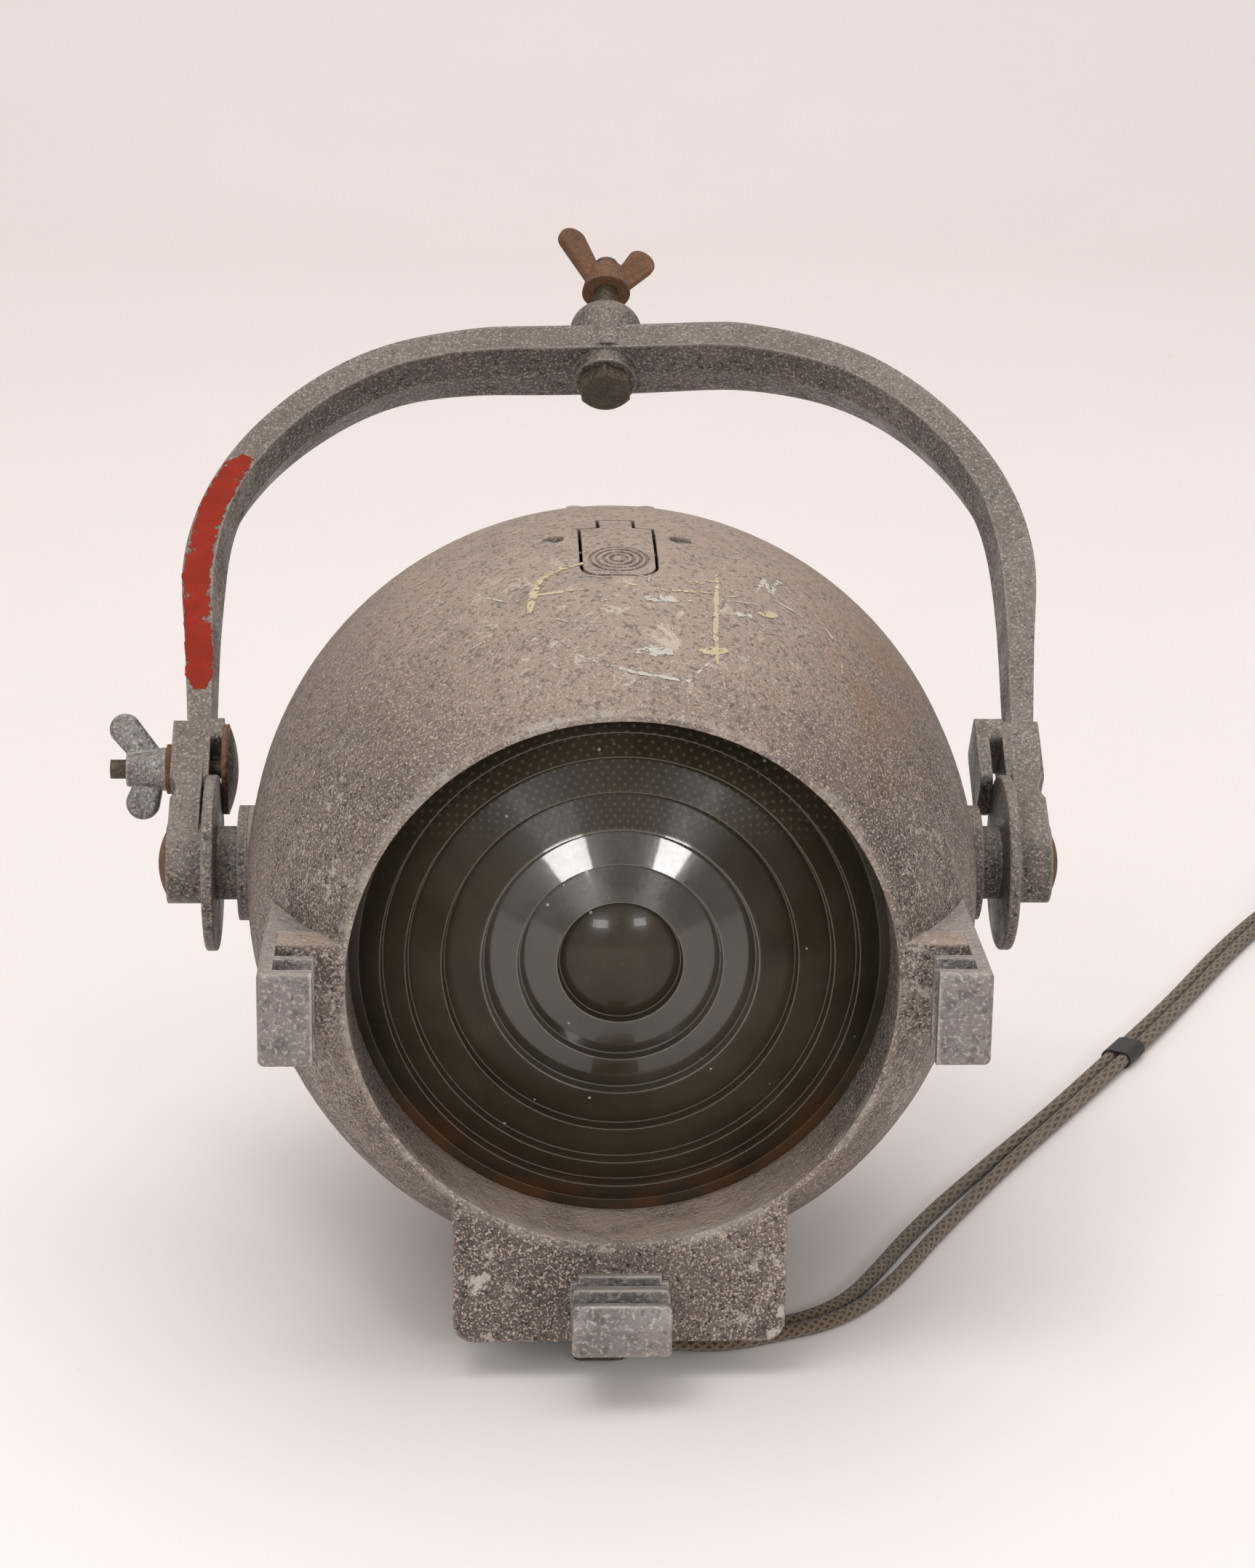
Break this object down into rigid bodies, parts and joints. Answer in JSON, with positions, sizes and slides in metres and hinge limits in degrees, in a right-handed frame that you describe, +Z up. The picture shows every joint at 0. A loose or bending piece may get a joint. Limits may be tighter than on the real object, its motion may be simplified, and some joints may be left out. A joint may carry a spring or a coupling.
{
  "type": "fresnel spotlight",
  "caption": "Small cast theatre spotlight: ball-shaped body on a base box, stepped lens, colour-frame runners, tilting yoke with locks and two braided tails.",
  "frame": {"origin": "on the floor, on the underside of the foot pan, straight below the tilt axis", "axes": "+X to the right of someone facing the lens, +Y from the lens to the back, +Z up"},
  "size_m": [0.481, 0.4603, 0.2743],
  "materials": {
    "body_casting": "rough cast, grey paint, worn",
    "gear_casting": "rough cast, dusty",
    "lens_glass": "stepped, clear, dusty",
    "lamp_glass": "clear",
    "rusty_steel": "rusted",
    "dark_steel": "blackened",
    "plain_steel": "dull plated",
    "cast_wing_nut": "dull cast",
    "tungsten": "drawn wire",
    "brass": "dull",
    "ceramic": "glazed ceramic",
    "mirror": "spun and polished",
    "moulded_black": "moulded",
    "fibre": "pressed fibre",
    "braid": "braided",
    "dark_sleeve": "matt"
  },
  "bodies": {
    "housing": {"front_casting": "body_casting", "side_runner_right": "gear_casting", "side_runner_left": "gear_casting", "base_plate": "dark_steel", "base_screws": "plain_steel", "lower_runner": "gear_casting", "lower_runner_screws": "plain_steel", "lens": "lens_glass", "lens_gasket": "fibre", "lens_spring": "plain_steel", "trunnion_right": "gear_casting", "trunnion_left": "gear_casting", "tilt_disc_right": "gear_casting", "tilt_disc_left": "gear_casting", "pivot_rivet_right": "rusty_steel", "pivot_rivet_left": "rusty_steel", "trunnion_nuts": "plain_steel", "latch_bridge": "dark_steel", "latch_rivets": "plain_steel", "latch_pin": "plain_steel", "latch_spring": "plain_steel", "hinge_pin": "plain_steel", "guide_rails": "plain_steel", "terminal_block": "ceramic", "terminal_screws": "brass", "cable_clamp": "dark_steel", "clamp_screws": "plain_steel", "tail_front": "braid", "tail_back": "braid", "tail_ends": "braid", "tail_sleeve": "dark_sleeve", "tail_coil": "braid", "plug_body": "moulded_black", "plug_pins": "brass", "plug_screw": "plain_steel"},
    "rear_cover": {"rear_cover": "body_casting", "louvre_baffle": "dark_steel", "baffle_rivets": "plain_steel", "cover_catch": "plain_steel", "catch_rivets": "plain_steel"},
    "latch": {"latch_tongue": "dark_steel"},
    "carriage": {"carriage": "dark_steel", "focus_stud": "plain_steel", "lamp_holder": "ceramic", "holder_screws": "plain_steel", "lamp_cap": "brass", "lamp_envelope": "lamp_glass", "filament": "tungsten", "reflector": "mirror", "reflector_bracket": "plain_steel", "reflector_rivet": "plain_steel"},
    "focus_knob": {"focus_knob": "moulded_black"},
    "yoke": {"yoke": "gear_casting", "lock_bolt": "dark_steel", "lock_grip_washer": "rusty_steel", "lock_washer": "rusty_steel"},
    "lock_wing_nut": {"lock_wing_nut": "cast_wing_nut"},
    "hanging_bolt": {"hanging_bolt": "dark_steel"},
    "hanging_wing_nut": {"hanging_wing_nut": "rusty_steel"}
  },
  "joints": [
    {"name": "yoke_tilt", "type": "hinge", "parent": "housing", "child": "yoke", "pos_m": [0, 0, 0.1155], "axis": [1, 0, 0], "range_deg": [-34, 144]},
    {"name": "lock_nut_spin", "type": "hinge", "parent": "yoke", "child": "lock_wing_nut", "pos_m": [-0.139, 0.02815, 0.13595], "axis": [-1, 0, 0], "continuous": true},
    {"name": "hanger_swivel", "type": "hinge", "parent": "yoke", "child": "hanging_bolt", "pos_m": [0.00285, 0.16984, 0.23889], "axis": [0.0262, 0.8087, 0.5876], "continuous": true},
    {"name": "hanger_nut_spin", "type": "hinge", "parent": "hanging_bolt", "child": "hanging_wing_nut", "pos_m": [0.00366, 0.19491, 0.25711], "axis": [0.0262, 0.8087, 0.5876], "continuous": true},
    {"name": "cover_hinge", "type": "hinge", "parent": "housing", "child": "rear_cover", "pos_m": [0, 0.0718, 0.0302], "axis": [-1, 0, 0], "range_deg": [0, 80]},
    {"name": "latch_press", "type": "hinge", "parent": "housing", "child": "latch", "pos_m": [0, -0.025, 0.213], "axis": [1, 0, 0], "range_deg": [0, 3.5], "stiffness_Nm_per_rad": 1, "springref_deg": -3.44, "deforming": ["latch_spring"]},
    {"name": "focus_slide", "type": "slide", "parent": "housing", "child": "carriage", "axis": [0, -1, 0], "range_m": [-0.017, 0.017]},
    {"name": "focus_knob_spin", "type": "hinge", "parent": "carriage", "child": "focus_knob", "pos_m": [0, -0.038, 0.006], "axis": [0, 0, 1], "continuous": true}
  ]
}
